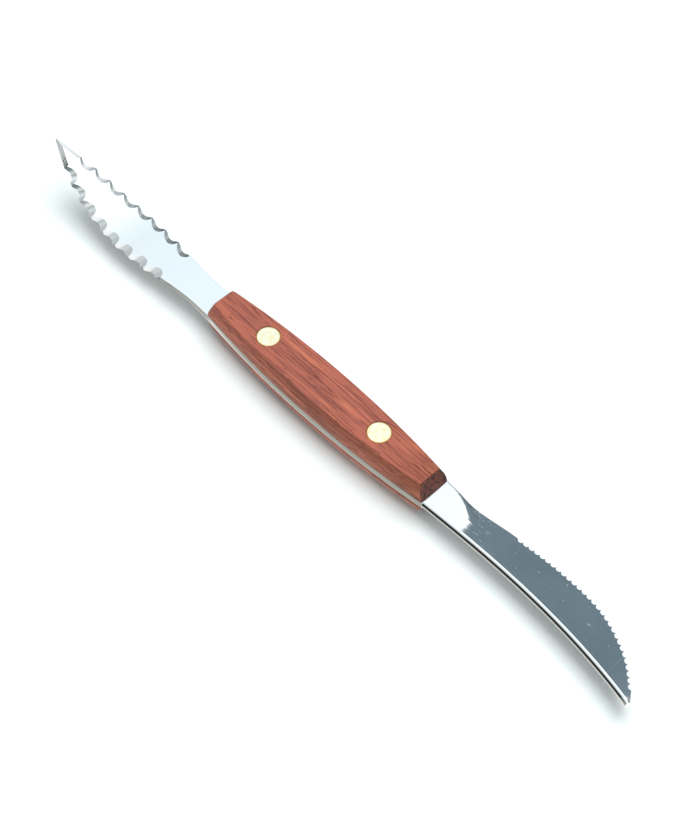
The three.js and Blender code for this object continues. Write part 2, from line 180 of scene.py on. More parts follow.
def loft(rings):
    """Vertices and faces of a closed skin over equal rings, with a face over each end."""
    rings = np.asarray(rings)
    count, around = rings.shape[:2]
    faces = []
    for row in range(count - 1):
        for step in range(around):
            here = row * around + step
            beside = row * around + (step + 1) % around
            faces.append((here, beside, beside + around, here + around))
    last = (count - 1) * around
    faces.append(tuple(reversed(range(around))))
    faces.append(tuple(range(last, last + around)))
    return rings.reshape(-1, 3), faces


def curve_through(points):
    """Dense points of a smooth cubic curve through points, with its ends repeated."""
    points = np.asarray(points, float)
    padded = np.vstack([points[:1], points, points[-1:]])
    dense = []
    for index in range(len(points) - 1):
        before, start, end, after = padded[index:index + 4]
        share = np.linspace(0, 1, CURVE_SAMPLES // len(points), endpoint=False)[:, None]
        leave, arrive = (end - before) / 2, (after - start) / 2
        dense.append(
            (2 * start - 2 * end + leave + arrive) * share ** 3
            + (-3 * start + 3 * end - 2 * leave - arrive) * share ** 2
            + leave * share + start
        )
    dense.append(points[-1:])
    return np.vstack(dense)


def curve_between(points):
    """Dense points of a cubic curve from its ends and its two control points."""
    first, pull, push, last = np.asarray(points, float)
    share = np.linspace(0, 1, CURVE_SAMPLES)[:, None]
    rest = 1 - share
    return (
        rest ** 3 * first + 3 * share * rest ** 2 * pull
        + 3 * share ** 2 * rest * push + share ** 3 * last
    )


class Track:
    """A dense curve read by length along it."""

    def __init__(self, points):
        steps = np.linalg.norm(np.diff(points, axis=0), axis=1)
        self.points = points
        self.lengths = np.concatenate([[0], np.cumsum(steps)])
        self.length = self.lengths[-1]

    def at(self, length):
        return np.array([np.interp(length, self.lengths, self.points[:, axis]) for axis in range(2)])

    def direction(self, length):
        before = self.at(max(length - DIRECTION_REACH, 0))
        along = self.at(min(length + DIRECTION_REACH, self.length)) - before
        return along / np.linalg.norm(along)


def outline(places, length):
    """Points of a blade's outline, from shares of its length."""
    return [[HANDLE_END + share * length, y] for share, y in places]


def smoothstep(value, low, high):
    share = min(max((value - low) / (high - low), 0), 1)
    return share * share * (3 - 2 * share)


def off_axis(vector, axis):
    """The part of a vector that is square to an axis."""
    return vector - axis * (vector @ axis)


def handle_half_width(x):
    return HANDLE_MIDDLE_HALF - (HANDLE_MIDDLE_HALF - HANDLE_END_HALF) * (x / HANDLE_END) ** 2


# The blade's skin is a loft of rings. A ring is the upper face from -Y to +Y, the +Y wall downwards, the
# lower face back to -Y and the -Y wall upwards. Walls are rounded where they meet the faces.

FACE_POINTS = FACE_COLUMNS + 1
WALL_POINTS = 2 * ARC_STEPS + WALL_STEPS - 2  # without the two points that a wall shares with the faces
LOWER_START = FACE_POINTS + WALL_POINTS
LOWER_END = LOWER_START + FACE_POINTS
RING_POINTS = LOWER_END + WALL_POINTS

# Columns across a flat face, with one close to each side so that the rounding's shading stays at the side
FACE_SHARES = np.concatenate([[0], np.linspace(FACE_MARGIN, 1 - FACE_MARGIN, FACE_COLUMNS - 1), [1]])


def wall_profile(radius, height):
    """[inset, drop] of a wall with rounded corners, from the upper face down to the lower one."""
    angles = np.linspace(0, math.pi / 2, ARC_STEPS)
    arc = np.stack([radius * (1 - np.sin(angles)), radius * (1 - np.cos(angles))], axis=1)
    straight = np.linspace(radius, height - radius, WALL_STEPS + 2)[1:-1]
    plain = np.stack([np.zeros(WALL_STEPS), straight], axis=1)
    mirrored = np.stack([arc[::-1, 0], height - arc[::-1, 1]], axis=1)
    return np.vstack([arc, plain, mirrored])


def joined_ring(upper, right_wall, lower, left_wall):
    """A ring from its four rows. The walls share their end points with the faces."""
    return np.vstack([upper, right_wall[1:-1], lower[::-1], left_wall[::-1][1:-1]])


def tang_ring(x):
    half = handle_half_width(x)
    profile = wall_profile(TANG_ROUND, STEEL_THICKNESS)
    across = (half - TANG_ROUND) * (2 * FACE_SHARES - 1)
    upper = np.stack([np.full_like(across, x), across, np.full_like(across, TANG_TOP)], axis=1)
    lower = np.stack([np.full_like(across, x), across, np.full_like(across, TANG_BOTTOM)], axis=1)
    right = [[x, half - inset, TANG_TOP - drop] for inset, drop in profile]
    left = [[x, inset - half, TANG_TOP - drop] for inset, drop in profile]
    return joined_ring(upper, np.array(right), lower, np.array(left))


# Scalloped blade

scalloped_curve = curve_through(
    [[HANDLE_END, HANDLE_END_HALF]]
    + outline(SCALLOPED_OUTLINE, SCALLOPED_LENGTH)
    + [[HANDLE_END + SCALLOPED_LENGTH, POINT_HALF_WIDTH]]
)
SCALLOP_RUN = SCALLOPED_LENGTH - POINT_LENGTH - SCALLOP_START
FIRST_SCALLOP = SCALLOP_RUN / SCALLOP_COUNT + SCALLOP_PITCH_DROP * (SCALLOP_COUNT - 1) / 2


def scalloped_half_width(along):
    return np.interp(along, scalloped_curve[:, 0], scalloped_curve[:, 1])


def scalloped_thickness(along):
    places = [0, THINNING_END, BEND_START, SCALLOPED_LENGTH]
    levels = [STEEL_THICKNESS, SCALLOPED_THICKNESS, SCALLOPED_THICKNESS, POINT_THICKNESS]
    return np.interp(along - HANDLE_END, places, levels)


def strip_frame(along):
    """A point of the upper face's middle line, with the directions towards the tip and up from the face."""
    past = max(along - HANDLE_END - BEND_START, 0)
    angle = past / BEND_RADIUS
    point = np.array([
        -(along - past) - BEND_RADIUS * math.sin(angle),
        0,
        TANG_TOP + BEND_RADIUS * (1 - math.cos(angle)),
    ])
    towards_tip = np.array([-math.cos(angle), 0, math.sin(angle)])
    up = np.array([math.sin(angle), 0, math.cos(angle)])
    return point, towards_tip, up


def scallop_end(index):
    """How far along the strip a scallop starts, and the one before it ends."""
    travelled = index * FIRST_SCALLOP - SCALLOP_PITCH_DROP * index * (index - 1) / 2
    return HANDLE_END + SCALLOP_START + travelled


def scallop_corner(index, side):
    along = scallop_end(index)
    corner = strip_frame(along)[0]
    corner[1] = side * scalloped_half_width(along)
    return corner


def scoop(index, side):
    """Centre, axis and radius of the round cutter that hollows one scallop."""
    start, end = scallop_corner(index, side), scallop_corner(index + 1, side)
    pitch = scallop_end(index + 1) - scallop_end(index)
    towards_tip, up = strip_frame(scallop_end(index) + pitch / 2)[1:]
    over = np.array([0, -side * math.cos(SCALLOP_SKEW), 0]) - towards_tip * math.sin(SCALLOP_SKEW)
    axis = up * math.cos(SCALLOP_LEAN) + over * math.sin(SCALLOP_LEAN)
    across = off_axis(end - start, axis)
    sagitta = SCALLOP_DEPTH * pitch / FIRST_SCALLOP * math.cos(SCALLOP_LEAN)
    radius = (across @ across / 4 + sagitta ** 2) / (2 * sagitta)
    outwards = side * np.cross(across / np.linalg.norm(across), axis)
    return (start + end) / 2 + outwards * (radius - sagitta), axis, radius


scoops = {side: [scoop(index, side) for index in range(SCALLOP_COUNT)] for side in (1, -1)}
point_start = scallop_end(SCALLOP_COUNT)
point_half = scalloped_half_width(point_start) + EDGE_FLARE
point_slope = (point_half - POINT_HALF_WIDTH) / POINT_LENGTH
point_bevel = POINT_BEVEL_RUN * math.sqrt(1 + point_slope ** 2)


def scooped_width(along, depth, side, widest):
    """How far the steel reaches to one side, at a depth under the upper face."""
    point, _, up = strip_frame(along)
    start = point - up * depth
    outwards = np.array([0.0, side, 0.0])
    reach = widest
    for centre, axis, radius in scoops[side]:
        offset = off_axis(start - centre, axis)
        heading = off_axis(outwards, axis)
        square, cross = heading @ heading, offset @ heading
        discriminant = cross * cross - square * (offset @ offset - radius ** 2)
        if discriminant > 0:
            entry = (-cross - math.sqrt(discriminant)) / square
            if entry > 0:
                reach = min(reach, entry)
    return reach


def scalloped_ring(along):
    point, _, up = strip_frame(along)
    thickness = scalloped_thickness(along)
    half = scalloped_half_width(along)
    half += EDGE_FLARE * smoothstep(along, scallop_end(0), scallop_end(0) + FIRST_SCALLOP / 2)
    profile = wall_profile(NECK_ROUND, thickness)
    top = 0.0
    if along > point_start:
        # Past the scallops the walls are bevels, which meet below the upper face near the tip
        half = point_half - (along - point_start) * point_slope
        top = max(0, thickness * (1 - (half - RIDGE_HALF_WIDTH) / point_bevel))
    walls = {}
    for side in (1, -1):
        wall = []
        for inset, drop in profile:
            depth = top + drop * (thickness - top) / thickness
            if along > point_start:
                reach = half - point_bevel * (1 - depth / thickness)
            else:
                reach = half - inset
            reach = max(scooped_width(along, depth, side, reach), RIDGE_HALF_WIDTH)
            wall.append(point - up * depth + np.array([0, side * reach, 0]))
        walls[side] = np.array(wall)
    upper = walls[-1][0] + np.outer(FACE_SHARES, walls[1][0] - walls[-1][0])
    lower = walls[-1][-1] + np.outer(FACE_SHARES, walls[1][-1] - walls[-1][-1])
    return joined_ring(upper, walls[1], lower, walls[-1])


# Toothed blade

spine_points = [[HANDLE_END, -HANDLE_END_HALF]] + outline(TOOTHED_SPINE, TOOTHED_LENGTH)
edge_points = [[HANDLE_END, HANDLE_END_HALF]] + outline(TOOTHED_EDGE, TOOTHED_LENGTH)
spine_track = Track(curve_between(spine_points))
edge_track = Track(curve_through(edge_points))
TOOTH_COUNT = math.floor((edge_track.length - TOOTH_START - PLAIN_EDGE_AT_TIP) / TOOTH_PITCH)
TOOTH_END = TOOTH_START + TOOTH_COUNT * TOOTH_PITCH
QUARTER_TURN = np.array([[0, 1], [-1, 0]])  # clockwise, from along the edge to inwards


def gullet_depth(length):
    """How deep the round gullets reach in from the edge, at a length along it."""
    if not TOOTH_START <= length <= TOOTH_END:
        return 0.0
    index, place = divmod(length - TOOTH_START, TOOTH_PITCH)
    depth = TOOTH_DEPTH + (TOOTH_DEPTH_AT_TIP - TOOTH_DEPTH) * index / (TOOTH_COUNT - 1)
    radius = (TOOTH_PITCH ** 2 / 4 + depth ** 2) / (2 * depth)
    return math.sqrt(radius ** 2 - (place - TOOTH_PITCH / 2) ** 2) - (radius - depth)


def grind_share(x, across):
    """How far the grind has run in, from 0 on the flat to 1 at its full depth."""
    spread = GRIND_START_AT_SPINE - GRIND_START_AT_EDGE
    start = HANDLE_END + GRIND_START_AT_SPINE - spread * across ** GRIND_START_CURVE
    start += GRIND_RAGGEDNESS * sum(math.sin(count * across + phase) for count, phase in GRIND_STREAKS)
    return smoothstep(x, start, start + GRIND_RUN_OUT)


def toothed_ring(length):
    """The ring at a length along the edge, with how ground each point of its faces is."""
    share = length / edge_track.length
    spine = spine_track.at(share * spine_track.length)
    edge = edge_track.at(length)
    inwards = QUARTER_TURN @ edge_track.direction(length)
    toothed = edge + inwards * gullet_depth(length)
    width = np.linalg.norm(edge - spine)
    reach = np.linalg.norm(toothed - spine)
    across_blade = (toothed - spine) / reach
    # Where the blade narrows to its tip, its width limits the grind, the round and the flat
    fullness = min(width / GRIND_FULL_WIDTH, 1)
    spine_round = min(SPINE_ROUND, width / 3)
    crease = max(min(SPINE_FLAT, width / 2), spine_round)

    def depth_at(place):
        across = min(max((place - crease) / (width - crease), 0), 1)
        run = grind_share(spine[0] + across_blade[0] * place, across)
        return fullness * run * across * (STEEL_THICKNESS - EDGE_THICKNESS) / 2, fullness * run

    edge_depth = depth_at(reach)[0]
    edge_height = STEEL_THICKNESS - 2 * edge_depth
    edge_round = min(EDGE_ROUND, edge_height / 3)
    flat = np.linspace(spine_round, crease, FLAT_COLUMNS, endpoint=False)
    ground = np.linspace(crease, reach - edge_round, GROUND_COLUMNS + 1)
    upper, lower, finish = [], [], []
    for place in np.concatenate([flat, ground]):
        x, y = spine + across_blade * place
        depth, run = depth_at(place)
        upper.append([x, y, TANG_TOP - depth])
        lower.append([x, y, TANG_BOTTOM + depth])
        finish.append(run if place >= crease else 0)
    right, left = [], []
    for inset, drop in wall_profile(edge_round, edge_height):
        x, y = toothed - across_blade * inset
        right.append([x, y, TANG_TOP - edge_depth - drop])
    for inset, drop in wall_profile(spine_round, STEEL_THICKNESS):
        x, y = spine + across_blade * inset
        left.append([x, y, TANG_TOP - drop])
    right[0], right[-1] = upper[-1], lower[-1]
    left[0], left[-1] = upper[0], lower[0]
    return joined_ring(np.array(upper), np.array(right), np.array(lower), np.array(left)), finish


def toothed_lengths():
    """The lengths along the edge at which the toothed blade has a ring."""
    tip_rows = 2 * int(PLAIN_EDGE_AT_TIP / PLAIN_STEP)
    return np.concatenate([
        np.arange(FIRST_STEP, TOOTH_START, PLAIN_STEP),
        np.linspace(TOOTH_START, TOOTH_END, TOOTH_COUNT * STEPS_PER_TOOTH, endpoint=False),
        np.linspace(TOOTH_END, edge_track.length, tip_rows),
    ])


# The whole blade. Each point of its skin says how ground it is and whether it is on a scooped side

def face_row(finish):
    """A ring's values from those of its upper face, the same on the lower face and 0 on the walls."""
    row = np.zeros(RING_POINTS)
    row[:FACE_POINTS] = finish
    row[LOWER_START:LOWER_END] = finish[::-1]
    return row


def sharpen_creases(piece, first_ring):
    """Makes the line between the spine's flat and the grind crisp, on both faces."""
    sharp = piece.data.attributes["sharp_edge"].data
    creases = (FLAT_COLUMNS, LOWER_END - 1 - FLAT_COLUMNS)
    for edge in piece.data.edges:
        first, second = edge.vertices
        lengthways = first % RING_POINTS == second % RING_POINTS
        on_toothed_blade = min(first, second) >= first_ring * RING_POINTS
        if lengthways and on_toothed_blade and first % RING_POINTS in creases:
            sharp[edge.index].value = True


def blade_piece():
    rings, ground, scooped = [], [], []
    plain = np.zeros(RING_POINTS)
    walls = 1 - face_row(np.ones(FACE_POINTS))
    stations = int(SCALLOPED_LENGTH / SCALLOPED_STEP)
    for along in np.linspace(HANDLE_END + SCALLOPED_LENGTH, HANDLE_END, stations, endpoint=False):
        rings.append(scalloped_ring(along))
        ground.append(plain)
        scooped.append(walls * (along > scallop_end(0)))
    for x in np.linspace(-HANDLE_END, HANDLE_END, TANG_STATIONS + 1):
        rings.append(tang_ring(x))
        ground.append(plain)
        scooped.append(plain)
    tang_end = len(rings)
    for length in toothed_lengths():
        ring, finish = toothed_ring(length)
        rings.append(ring)
        ground.append(face_row(finish))
        scooped.append(plain)

    vertices, faces = loft(rings)
    piece = new_object("fine_blade", vertices, faces)
    for name, rows in (("ground", ground), ("scooped", scooped)):
        attribute = piece.data.attributes.new(name, "FLOAT", "POINT")
        attribute.data.foreach_set("value", np.concatenate(rows).astype(np.float32))
    sharpen_creases(piece, tang_end)
    return piece


# Wooden scales: a loft along the handle of a section with rounded creases

def corner_arc(before, corner, after, radius):
    """Points of the round that replaces a corner between two straight lines."""
    before, corner, after = (np.array(point, float) for point in (before, corner, after))
    back = (before - corner) / np.linalg.norm(before - corner)
    on = (after - corner) / np.linalg.norm(after - corner)
    half = math.acos(np.clip(back @ on, -1, 1)) / 2
    run = radius / math.tan(half)
    centre = corner + (back + on) / np.linalg.norm(back + on) * radius / math.sin(half)
    start, end = corner + back * run, corner + on * run
    points = []
    for share in np.linspace(0, 1, ROUND_STEPS):
        spoke = start + (end - start) * share - centre
        points.append(centre + spoke / np.linalg.norm(spoke) * radius)
    return points


def scale_section(crease_round):
    """[inset, height] of one side of a scale, from the tang out to the outer face."""
    foot, land, brow = [0, FOOT_CHAMFER], [0, SIDE_LAND], [SIDE_INSET, SCALE_THICKNESS]
    inner = [HANDLE_END_HALF, SCALE_THICKNESS]
    return np.array(
        [[FOOT_CHAMFER, 0], foot]
        + corner_arc(foot, land, brow, LAND_ROUND)
        + corner_arc(land, brow, inner, crease_round)
    )


def scale_ring(share, cut, end_round, base, direction):
    """A ring of a scale at a share of its length, with a cut from its end where the end is rounded."""
    softness = (1 - share) / 2
    section = scale_section(CREASE_ROUND_NEAR + (CREASE_ROUND_FAR - CREASE_ROUND_NEAR) * softness)
    shrink = 0.0
    if end_round > cut:
        shrink = end_round - math.sqrt(end_round ** 2 - (end_round - cut) ** 2)

    def place(inset, height, y_share):
        height = height * (SCALE_THICKNESS - shrink) / SCALE_THICKNESS
        x = share * (HANDLE_END - END_SETBACK * height / SCALE_THICKNESS)
        x -= math.copysign(cut, share)
        half = handle_half_width(x) - inset - shrink
        return [x, half * y_share, base + direction * height]

    right = [place(inset, height, 1) for inset, height in section]
    left = [place(inset, height, -1) for inset, height in section]
    brow_inset = section[-1][0]
    margin = 1 - TOP_MARGIN / (handle_half_width(share * HANDLE_END) - brow_inset - shrink)
    columns = np.linspace(margin, -margin, TOP_COLUMNS)
    top = [place(brow_inset, SCALE_THICKNESS, column) for column in columns]
    ring = right + top + left[::-1]
    return np.array(ring if direction > 0 else ring[::-1])


def scale_piece(name, direction):
    base = TANG_TOP if direction > 0 else TANG_BOTTOM
    turns = np.linspace(0, math.pi / 2, ROUND_STEPS)
    rings = []
    for turn in turns[:-1]:
        cut = END_ROUND_FAR * (1 - math.cos(turn))
        rings.append(scale_ring(-1, cut, END_ROUND_FAR, base, direction))
    reach = 1 - 2 * END_ROUND_FAR / HANDLE_END
    for share in np.linspace(-reach, reach, SCALE_STATIONS):
        rings.append(scale_ring(share, 0, 0, base, direction))
    for turn in turns[-2::-1]:
        cut = END_ROUND_NEAR * (1 - math.cos(turn))
        rings.append(scale_ring(1, cut, END_ROUND_NEAR, base, direction))
    vertices, faces = loft(rings)
    piece = new_object(name, vertices, faces)
    for x in RIVET_PLACES.values():
        drill(piece, x, base + direction * SCALE_THICKNESS, direction)
    shade(piece.data)
    return piece


def drill(piece, x, outer, direction):
    """Cuts a rivet's seat and shank hole into a scale."""
    floor = outer - direction * (HEAD_RECESS + HEAD_THICKNESS)
    past = outer + direction * CUT_MARGIN
    through = outer - direction * (SCALE_THICKNESS + CUT_MARGIN)
    seat, shank = HEAD_RADIUS + SEAT_CLEARANCE, TUBE_RADIUS + SEAT_CLEARANCE
    profile = [[0, through], [shank, through], [shank, floor], [seat, floor], [seat, past], [0, past]]
    cutter = turned("cutter", profile if direction > 0 else profile[::-1], x)
    cut = piece.modifiers.new("cut", "BOOLEAN")
    cut.operation = "DIFFERENCE"
    cut.solver = "EXACT"
    cut.object = cutter
    depsgraph = bpy.context.evaluated_depsgraph_get()
    mesh = bpy.data.meshes.new_from_object(piece.evaluated_get(depsgraph))
    piece.modifiers.clear()
    piece.data = mesh
    bpy.data.objects.remove(cutter)


# Rivets

def turned(name, profile, x):
    """A turned piece from a profile of [radius, height] read upwards, on an upright axis at x."""
    inner = [point for point in profile if point[0] > 0]
    vertices = [[x, 0, profile[0][1]], [x, 0, profile[-1][1]]]
    first = len(vertices)
    last = first + (len(inner) - 1) * TURN_STEPS
    for radius, height in inner:
        for turn in np.linspace(0, 2 * math.pi, TURN_STEPS, endpoint=False):
            vertices.append([x + radius * math.cos(turn), radius * math.sin(turn), height])
    faces = []
    for step in range(TURN_STEPS):
        beside = (step + 1) % TURN_STEPS
        faces.append((0, first + beside, first + step))
        faces.append((1, last + step, last + beside))
        for row in range(len(inner) - 1):
            low = first + row * TURN_STEPS
            faces.append((low + step, low + beside, low + TURN_STEPS + beside, low + TURN_STEPS + step))
    return new_object(name, vertices, faces)


def rim(face, direction):
    """[radius, height] round the rim of a head, from just inside its face to its side."""
    turns = np.linspace(0, math.pi / 2, ROUND_STEPS)
    flat = HEAD_RADIUS - RIM_ROUND
    arc = [
        [flat + RIM_ROUND * math.sin(turn), face - direction * RIM_ROUND * (1 - math.cos(turn))]
        for turn in turns
    ]
    return [[flat - RIM_ROUND / 2, face]] + arc


def socket_piece(name, x):
    face = KNIFE_TOP - HEAD_RECESS
    shoulder = face - HEAD_THICKNESS
    tube_end = HEAD_RECESS + HEAD_THICKNESS + TUBE_END_GAP
    bore = PIN_RADIUS + BORE_CLEARANCE
    profile = [[0, shoulder], [bore, shoulder], [bore, tube_end], [TUBE_RADIUS, tube_end]]
    profile += [[TUBE_RADIUS, shoulder], [HEAD_RADIUS, shoulder]]
    return turned(name, profile + rim(face, 1)[::-1] + [[0, face]], x)


def pin_piece(name, x):
    shoulder = HEAD_RECESS + HEAD_THICKNESS
    tip = KNIFE_TOP - HEAD_RECESS - HEAD_THICKNESS - PIN_END_GAP
    profile = [[0, HEAD_RECESS]] + rim(HEAD_RECESS, -1)
    profile += [[HEAD_RADIUS, shoulder], [PIN_RADIUS, shoulder], [PIN_RADIUS, tip], [0, tip]]
    return turned(name, profile, x)


# Materials

class Nodes:
    """A node tree, with short ways to add nodes to it."""

    def __init__(self, tree):
        self.tree = tree

    def add(self, kind, **settings):
        node = self.tree.nodes.new("ShaderNode" + kind)
        for name, value in settings.items():
            setattr(node, name, value)
        return node

    def feed(self, socket, value):
        """Links a socket to another node's output, or sets it to a constant."""
        if isinstance(value, bpy.types.NodeSocket):
            self.tree.links.new(value, socket)
        else:
            socket.default_value = value

    def axes(self, space):
        """The three parts of a vector of the texture coordinates."""
        split = self.add("SeparateXYZ")
        self.feed(split.inputs["Vector"], self.add("TexCoord").outputs[space])
        return split.outputs

    def noise(self, scale, detail=3.0, distortion=0.0, turn=0.0):
        """Noise with its own scale along each axis, in cycles per metre, turned about Z."""
        mapping = self.add("Mapping")
        mapping.inputs["Rotation"].default_value = (0, 0, turn)
        mapping.inputs["Scale"].default_value = scale
        self.feed(mapping.inputs["Vector"], self.add("TexCoord").outputs["Object"])
        noise = self.add("TexNoise")
        self.feed(noise.inputs["Vector"], mapping.outputs["Vector"])
        noise.inputs["Scale"].default_value = 1
        noise.inputs["Detail"].default_value = detail
        noise.inputs["Distortion"].default_value = distortion
        return noise.outputs["Fac"]

    def spread(self, value, low, high, out_low=0.0, out_high=1.0):
        """Maps one range of a value to another, smoothly and with its ends held."""
        node = self.add("MapRange", interpolation_type="SMOOTHSTEP")
        names = ("Value", "From Min", "From Max", "To Min", "To Max")
        for name, part in zip(names, (value, low, high, out_low, out_high)):
            self.feed(node.inputs[name], part)
        return node.outputs["Result"]

    def between(self, place, ends):
        """Grows from 0 to 1 between two places in millimetres."""
        return self.spread(place, ends[0] * MM, ends[1] * MM)

    def math(self, operation, first, second=0.0):
        node = self.add("Math", operation=operation)
        self.feed(node.inputs[0], first)
        self.feed(node.inputs[1], second)
        return node.outputs["Value"]

    def all(self, first, *others):
        """The product of several factors."""
        for other in others:
            first = self.math("MULTIPLY", first, other)
        return first

    def mix(self, factor, first, second, blend="MIX"):
        """Mixes two colours by a factor, through the places that the node has for colours."""
        node = self.add("Mix", data_type="RGBA", blend_type=blend)
        for index, value in ((0, factor), (6, first), (7, second)):
            self.feed(node.inputs[index], value)
        return node.outputs[2]

    def attribute(self, name):
        return self.add("Attribute", attribute_name=name).outputs["Fac"]

    def bump(self, height, distance):
        """The normal of a relief whose height of 0 to 1 stands for a distance in millimetres."""
        node = self.add("Bump")
        node.inputs["Distance"].default_value = distance * MM
        self.feed(node.inputs["Height"], height)
        return node.outputs["Normal"]


def new_material(name):
    """A material, its nodes and the inputs of its surface."""
    material = bpy.data.materials.new(name)
    material.use_nodes = True
    return material, Nodes(material.node_tree), material.node_tree.nodes["Principled BSDF"].inputs


def rgb(red, green, blue):
    return (red, green, blue, 1)


# Steel. A pair of places along X is where a mark or painted shade begins and where it is at its full
# strength
POLISHED = (rgb(0.82, 0.84, 0.85), rgb(0.88, 0.89, 0.89))
GROUND = (rgb(0.72, 0.765, 0.80), rgb(0.80, 0.835, 0.86))
HOLLOWED = rgb(0.84, 0.86, 0.86)
# Painted shade on the steep start of the grind
PAINTED_GRIND_SHADE = rgb(0.16, 0.20, 0.22)
# Painted shade by the point, on the scoops' ends and on the bevel's root
PAINTED_POINT_SHADE = rgb(0.17, 0.20, 0.20)
CLOSE_NICKS = (64, 50)
STEEP_GRIND = (75, 65)
SCOOPS_BY_POINT = (-80, -88)
POINT_BEVEL = (-94.1, -94.3)
BEVEL_MARKS = (-97.1, -96.0)
BEVEL_ROOT = (-95.4, -94.7)
MARK_PITCH = 0.65
NICK_TURN = 0.5  # radians about Z
SCRATCH_PLACE = 95.5
SCRATCH_SIDE = (0.14, 0.06)  # to either side of the scratch
POLISHED_ROUGHNESS = (0.05, 0.1)
NICK_ROUGHNESS = 0.35  # added to that of the polish, as the next three are
SCRATCH_ROUGHNESS = 0.1
GRIND_ROUGHNESS = 0.03
SCOOP_ROUGHNESS = 0.2
STREAK_HEIGHT = 0.0012


def nicked(nodes, place):
    """Nicks, scattered and closer together where the grind starts."""
    pitted = nodes.noise((700, 2200, 2200), turn=NICK_TURN)
    close = nodes.all(nodes.spread(pitted, 0.58, 0.66, 0, 0.6), nodes.between(place, CLOSE_NICKS))
    return nodes.math("MAXIMUM", nodes.spread(pitted, 0.70, 0.75), close)


def painted_shade_by_point(nodes, scooped, place, facing):
    """Painted shade by the point, on the -Y side: the scoops' ends and the point's bevel are coloured dark.
    """
    by_point = nodes.all(scooped, nodes.between(place, SCOOPS_BY_POINT))
    ends = nodes.all(by_point, nodes.spread(facing["X"], 0.36, 0.6), nodes.spread(facing["Y"], 0.0, -0.2))
    # Coarse grind marks cross the bevel as dark stripes, partly real marks and partly painted shade; its
    # root is painted shade
    bevel = nodes.all(scooped, nodes.between(place, POINT_BEVEL), nodes.spread(facing["Y"], -0.2, -0.4))
    wave = nodes.math("SINE", nodes.math("MULTIPLY", place, 2 * math.pi / (MARK_PITCH * MM)))
    crossed = nodes.all(nodes.between(place, BEVEL_MARKS), nodes.spread(wave, -0.2, 0.5, 0, 0.8))
    marked = nodes.math("MAXIMUM", crossed, nodes.between(place, BEVEL_ROOT))
    return nodes.math("MAXIMUM", ends, nodes.all(bevel, marked))


def steel_colour(nodes, ground, scooped, place):
    facing = nodes.axes("Normal")
    cloud = nodes.noise((60, 60, 60))
    polished = nodes.mix(cloud, *POLISHED)
    clouded = nodes.mix(nodes.spread(cloud, 0.35, 0.65), *GROUND)
    faces = nodes.mix(ground, polished, clouded)
    # Painted shade: where the steep start of the grind by the edge faces +Y, its colour is dark
    by_handle = nodes.all(nodes.spread(ground, 0.0, 0.08), nodes.between(place, STEEP_GRIND))
    steep = nodes.all(by_handle, nodes.spread(facing["Y"], 0.24, 0.32))
    hollowed = nodes.mix(scooped, nodes.mix(steep, faces, PAINTED_GRIND_SHADE), HOLLOWED)
    # The painted shade by the point goes over the rest
    return nodes.mix(painted_shade_by_point(nodes, scooped, place, facing), hollowed, PAINTED_POINT_SHADE)


def steel_roughness(nodes, ground, scooped, place, streak):
    nicks = nodes.all(ground, nicked(nodes, place))
    off_scratch = nodes.math("ABSOLUTE", nodes.math("SUBTRACT", place, SCRATCH_PLACE * MM))
    scratch = nodes.all(ground, nodes.between(off_scratch, SCRATCH_SIDE))
    rough = nodes.spread(streak, 0.3, 0.7, *POLISHED_ROUGHNESS)
    for mask, added in (
        (nicks, NICK_ROUGHNESS),
        (scratch, SCRATCH_ROUGHNESS),
        (ground, GRIND_ROUGHNESS),
        (scooped, SCOOP_ROUGHNESS),
    ):
        rough = nodes.math("ADD", rough, nodes.math("MULTIPLY", mask, added))
    return rough


def steel_material():
    material, nodes, surface = new_material("steel")
    ground, scooped = nodes.attribute("ground"), nodes.attribute("scooped")
    place = nodes.axes("Object")["X"]
    streak = nodes.noise((130, 7000, 7000), detail=4)
    surface["Metallic"].default_value = 1.0
    nodes.feed(surface["Base Color"], steel_colour(nodes, ground, scooped, place))
    nodes.feed(surface["Roughness"], steel_roughness(nodes, ground, scooped, place, streak))
    marks = nodes.math("MULTIPLY", streak, nodes.spread(ground, 0, 0.6, 0.15, 1))
    nodes.feed(surface["Normal"], nodes.bump(marks, STREAK_HEIGHT))
    return material


# Wood. A tone multiplies the colour, and on the upper scale's sides the tones are painted light and shade. A
# pair of places is where a tone begins and where it is full
GRAIN_LEAN = math.radians(3)
WOOD = (rgb(0.305, 0.091, 0.062), rgb(0.415, 0.121, 0.076))
WARM_BAND = rgb(0.48, 0.147, 0.084)
COOL_BAND = rgb(0.265, 0.082, 0.060)
FINE_LINE = rgb(0.15, 0.043, 0.034)
PORE = rgb(0.08, 0.024, 0.018)
END_GRAIN = (rgb(0.15, 0.047, 0.032), rgb(0.036, 0.018, 0.016))
PLAIN_TONE = rgb(1, 1, 1)
# Painted shade below the crease and painted light on the land, on the upper scale's sides
PAINTED_CREASE_SHADE = rgb(0.84, 0.83, 0.72)
PAINTED_LAND_LIGHT = rgb(1.07, 1.21, 1.22)
NEAR_TONE = rgb(0.78, 0.78, 0.72)
CREASE_SHADE_SPAN = (-30, 0)  # along X
NEAR_END = (20, 36)  # along X
UPPER_SIDE = (5.5, 7.0)  # up along Z, as the next one is
LAND_TO_CREASE = (9.0, 11.2)
WOOD_ROUGHNESS = (0.4, 0.55)
WOOD_SPECULAR = 0.3
GRAIN_HEIGHT = 0.03


